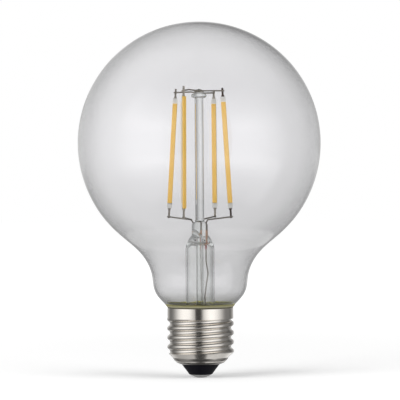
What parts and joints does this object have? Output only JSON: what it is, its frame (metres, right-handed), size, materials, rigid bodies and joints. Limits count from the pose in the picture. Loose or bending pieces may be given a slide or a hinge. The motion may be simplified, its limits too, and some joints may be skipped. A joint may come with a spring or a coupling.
{
  "type": "smart bulb",
  "caption": "Clear glass globe light bulb with upright yellow filaments on a glass stem, a screw cap with a rolled thread, and a small wireless driver inside the cap.",
  "frame": {"origin": "middle of the centre contact, the lowest point of the cap", "axes": "+Z along the lamp's axis from the cap to the crown of the globe, -Y towards the front"},
  "size_m": [0.095, 0.095, 0.1391],
  "materials": {
    "envelope_glass": "clear blown glass, smooth",
    "stem_glass": "clear drawn glass, fire polished",
    "filament_ceramic": "white ceramic strip, matt",
    "phosphor": "yellow phosphor in silicone, satin",
    "terminal_metal": "plated strip metal",
    "wire_metal": "bare nickel wire, dull",
    "seal_copper": "copper clad seal wire",
    "cement": "baked cap cement, matt",
    "shell_nickel": "bright nickel plate on rolled sheet",
    "insulator_black": "black moulded insulator, glossy",
    "contact_metal": "plated brass contact, satin",
    "insulated_wire": "sleeved wire",
    "board_green": "green lacquered circuit board",
    "capacitor_sleeve": "shrunk film sleeve",
    "component_black": "moulded and ferrite black",
    "resistor_body": "lacquered resistor body"
  },
  "bodies": {
    "root": {"glass_envelope": "envelope_glass", "stem_flare": "stem_glass", "exhaust_tube": "stem_glass", "support_rod": "stem_glass", "filament_1_strip": "filament_ceramic", "filament_2_strip": "filament_ceramic", "filament_3_strip": "filament_ceramic", "filament_4_strip": "filament_ceramic", "filament_1_phosphor": "phosphor", "filament_2_phosphor": "phosphor", "filament_3_phosphor": "phosphor", "filament_4_phosphor": "phosphor", "filament_1_terminals": "terminal_metal", "filament_2_terminals": "terminal_metal", "filament_3_terminals": "terminal_metal", "filament_4_terminals": "terminal_metal", "top_wire_front": "wire_metal", "top_wire_rear": "wire_metal", "link_wire": "wire_metal", "lead_wire_front": "wire_metal", "lead_wire_rear": "wire_metal", "seal_wire_front": "seal_copper", "seal_wire_rear": "seal_copper", "outer_lead_front": "wire_metal", "outer_lead_rear": "wire_metal", "cap_cement": "cement", "screw_shell": "shell_nickel", "cap_insulator": "insulator_black", "centre_contact": "contact_metal", "live_wire": "insulated_wire", "neutral_wire": "insulated_wire", "driver_board": "board_green", "smoothing_capacitor": "capacitor_sleeve", "inductor": "component_black", "bridge_rectifier": "component_black", "fusible_resistor": "resistor_body", "wireless_module": "board_green"}
  },
  "joints": []
}
